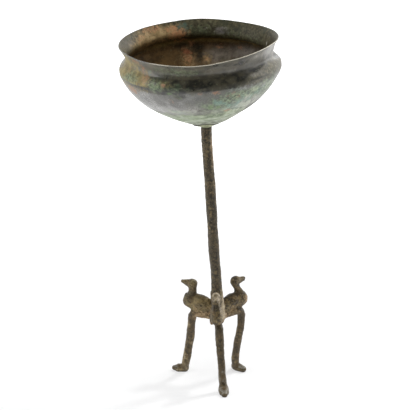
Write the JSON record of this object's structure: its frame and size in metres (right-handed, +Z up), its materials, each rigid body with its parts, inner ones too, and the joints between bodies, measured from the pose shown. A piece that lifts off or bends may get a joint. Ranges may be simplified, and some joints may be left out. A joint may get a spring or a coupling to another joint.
{
  "type": "footed bowl stand",
  "caption": "Round carinated bronze bowl with a flared rim on a tall slender leaning stem, carried by a tripod of bent legs, each with a small duck seated on its arm.",
  "frame": {"origin": "centre of the whole object's box on the floor plane that the three soles stand on", "axes": "+Z up; -Y towards the viewer of the front leg; the stem and the bowl lean towards -X as they rise"},
  "size_m": [0.1478, 0.1468, 0.3348],
  "materials": {
    "bowl_bronze": "smooth dark olive patina with green and orange spots",
    "collar_bronze": "pale green-grey corrosion",
    "stem_bronze": "rough pitted brown-olive patina",
    "tripod_bronze": "rough cast, pitted olive-brown patina",
    "duck_bronze": "rough cast, khaki-green patina worn pale on the heads"
  },
  "bodies": {
    "root": {"bowl": "bowl_bronze", "bowl_rove": "bowl_bronze", "bowl_seat_collar": "collar_bronze", "stem": "stem_bronze", "tripod_hub": "tripod_bronze", "leg_front": "tripod_bronze", "leg_right": "tripod_bronze", "leg_left": "tripod_bronze", "duck_front": "duck_bronze", "duck_right": "duck_bronze", "duck_left": "duck_bronze"}
  },
  "joints": []
}
